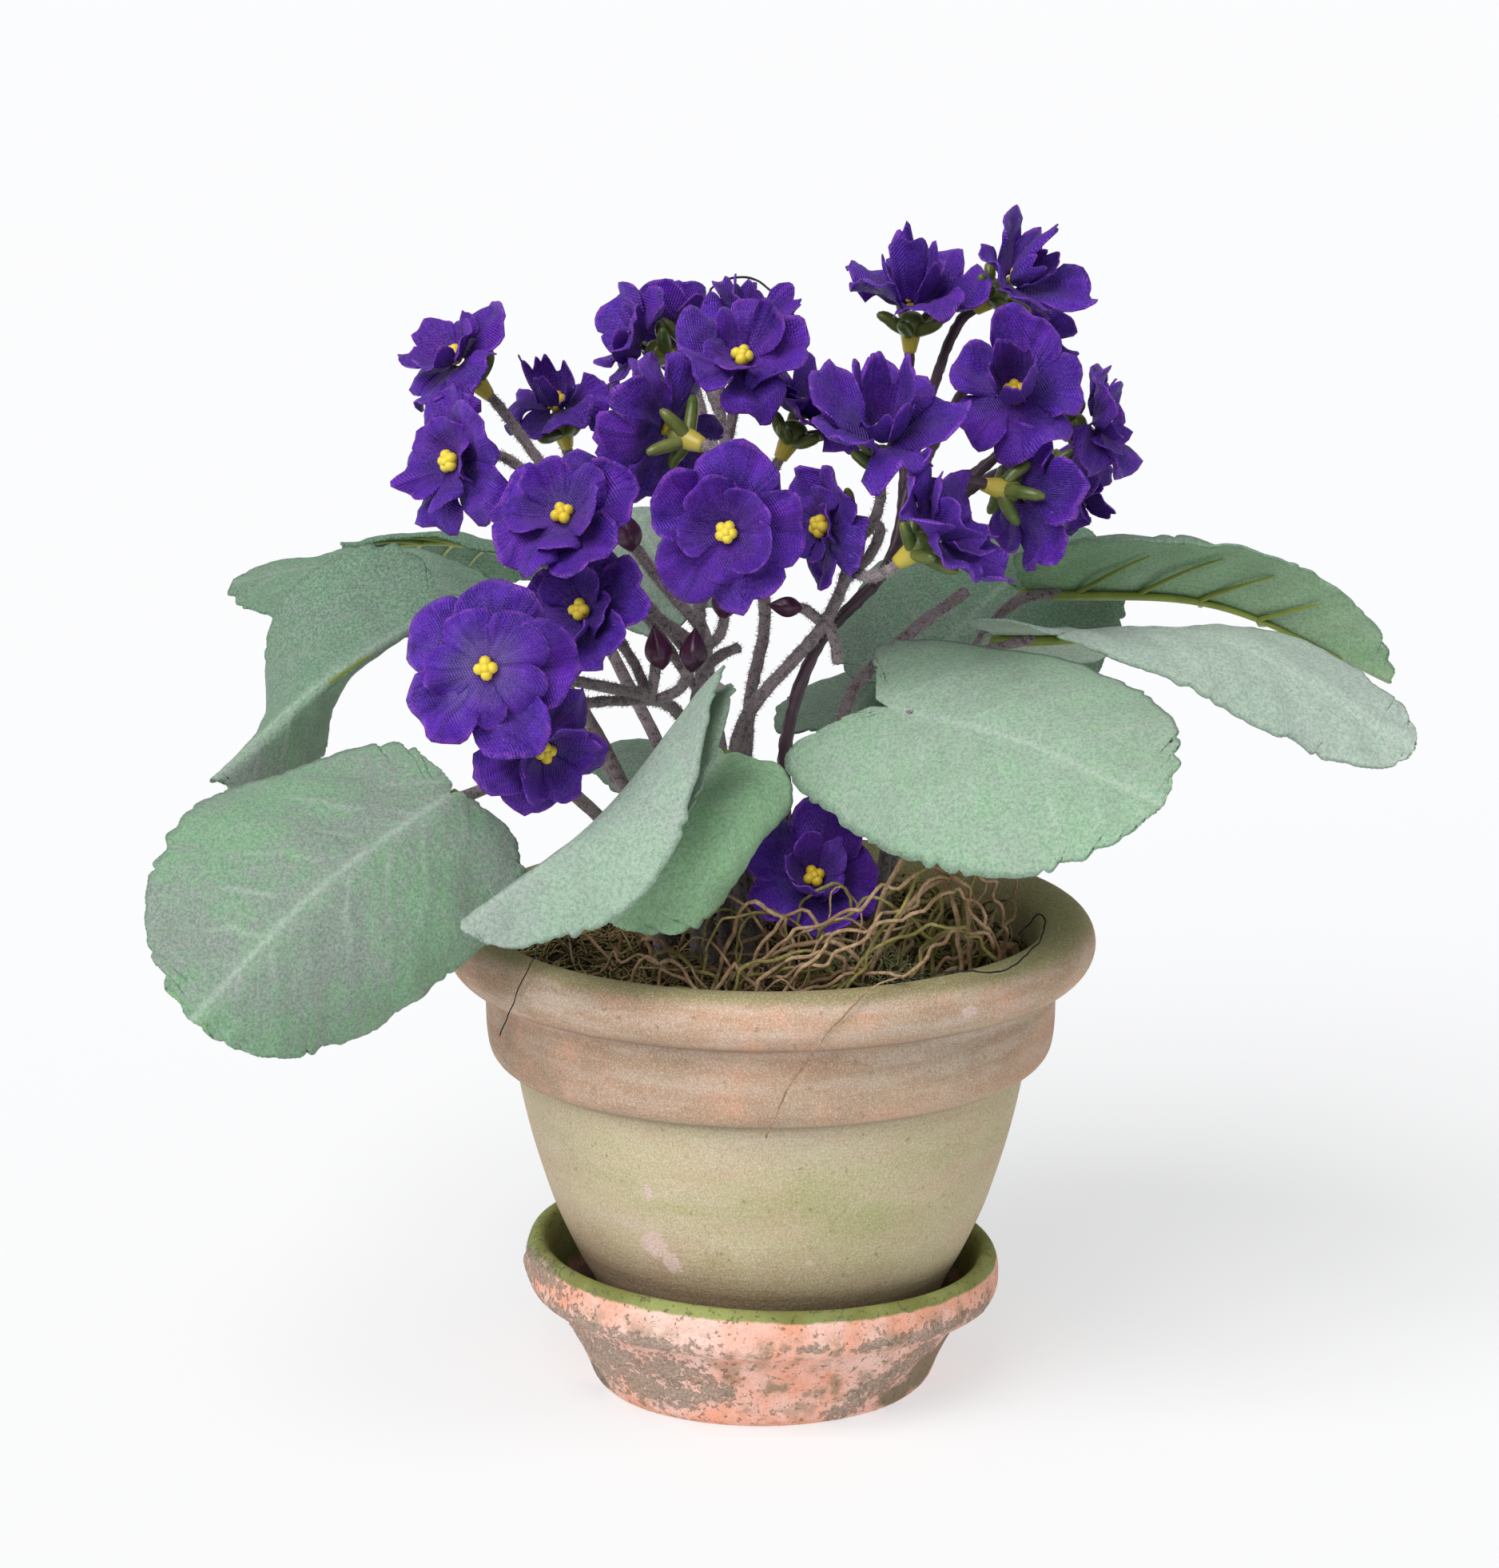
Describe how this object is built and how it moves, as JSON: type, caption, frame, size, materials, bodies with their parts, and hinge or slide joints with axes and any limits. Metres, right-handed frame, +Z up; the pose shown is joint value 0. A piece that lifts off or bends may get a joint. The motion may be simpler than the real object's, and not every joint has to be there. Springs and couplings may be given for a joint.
{
  "type": "potted african violet",
  "caption": "Bushy artificial african violet with layered purple blooms over scalloped felted leaves, in a weathered terracotta pot standing on its saucer.",
  "frame": {"origin": "middle of the saucer's flat underside, on the ground", "axes": "+Z up, -Y towards the front where the large leaves hang over the rim, +X to the right seen from the front"},
  "size_m": [0.2347, 0.1646, 0.2244],
  "materials": {
    "terracotta": "unglazed, matt, with olive algae bloom and a pinkish rim",
    "saucer_clay": "unglazed, rough, salmon pink with green rim and dark crusts",
    "soil": "dark dry potting mix, matt",
    "moss": "dried moss and root strands, matt",
    "leaf_fabric": "felted grey-green cloth with paler veins, matt",
    "stem_plastic": "moulded, flocked in grey mauve; calyxes green and eyes yellow",
    "petal_fabric": "fine woven violet cloth with a soft sheen"
  },
  "bodies": {
    "root": {"saucer": "saucer_clay", "pot": "terracotta", "soil": "soil", "moss": "moss", "leaf_front_left": "leaf_fabric", "leaf_front_folded": "leaf_fabric", "leaf_front_centre": "leaf_fabric", "leaf_front_right": "leaf_fabric", "leaf_right_twisted": "leaf_fabric", "leaf_right_upper": "leaf_fabric", "leaf_back_right": "leaf_fabric", "leaf_back": "leaf_fabric", "leaf_back_middle": "leaf_fabric", "leaf_back_left": "leaf_fabric", "leaf_left_folded": "leaf_fabric", "leaf_left_far": "leaf_fabric", "leaf_back_small": "leaf_fabric", "spray_left": "stem_plastic", "spray_centre": "stem_plastic", "spray_flocked": "stem_plastic", "spray_right": "stem_plastic", "spray_back": "stem_plastic", "spray_bare": "stem_plastic", "bloom_01": "petal_fabric", "bloom_02": "petal_fabric", "bloom_03": "petal_fabric", "bloom_04": "petal_fabric", "bloom_05": "petal_fabric", "bloom_06": "petal_fabric", "bloom_07": "petal_fabric", "bloom_08": "petal_fabric", "bloom_09": "petal_fabric", "bloom_10": "petal_fabric", "bloom_11": "petal_fabric", "bloom_12": "petal_fabric", "bloom_13": "petal_fabric", "bloom_14": "petal_fabric", "bloom_15": "petal_fabric", "bloom_16": "petal_fabric", "bloom_17": "petal_fabric", "bloom_18": "petal_fabric", "bloom_19": "petal_fabric", "bloom_20": "petal_fabric", "bloom_21": "petal_fabric", "bloom_22": "petal_fabric", "bloom_23": "petal_fabric", "bloom_24": "petal_fabric", "bloom_25": "petal_fabric"}
  },
  "joints": []
}
